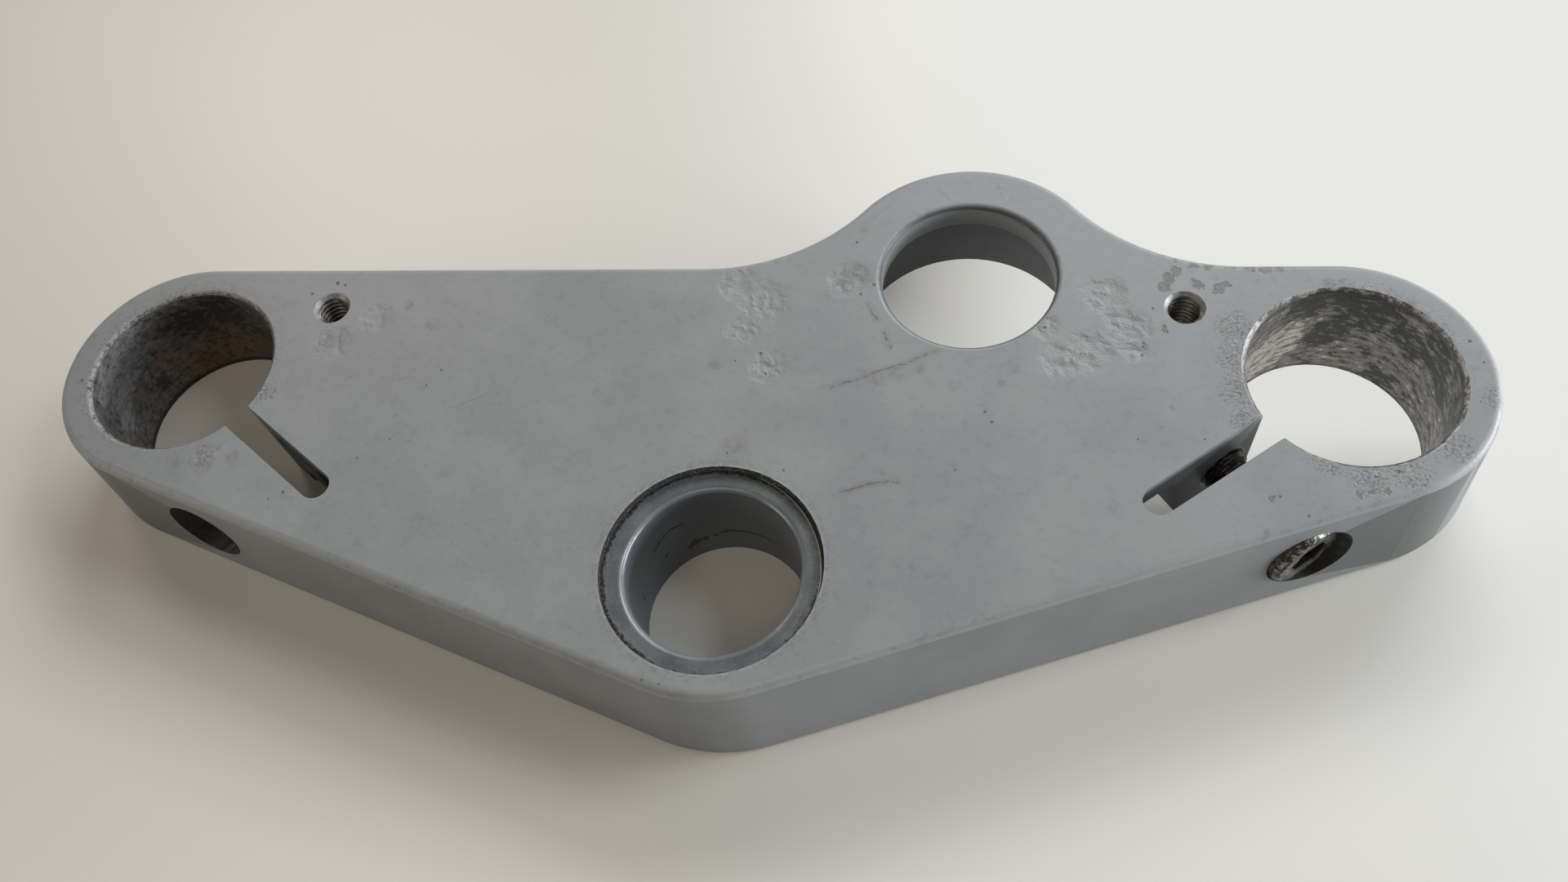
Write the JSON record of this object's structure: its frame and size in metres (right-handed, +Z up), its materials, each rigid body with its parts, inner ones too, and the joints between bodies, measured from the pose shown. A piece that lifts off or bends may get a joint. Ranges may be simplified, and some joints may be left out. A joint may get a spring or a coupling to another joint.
{
  "type": "motorcycle triple clamp",
  "caption": "Upper triple clamp of a motorcycle: split clamps for the fork legs, a steering-stem bore and an offset lobe with the steering-lock hole.",
  "frame": {"origin": "steering-stem axis in the plane of the underside", "axes": "+Z up along the steering stem, +Y forward, +X to the rider's right across the fork legs"},
  "size_m": [0.2476, 0.1051, 0.022],
  "materials": {
    "casting": "satin silver-grey paint over cast aluminium, worn and corroded",
    "bolt": "dulled zinc-plated steel"
  },
  "bodies": {
    "root": {"yoke": "casting", "right_pinch_bolt": "bolt"}
  },
  "joints": []
}
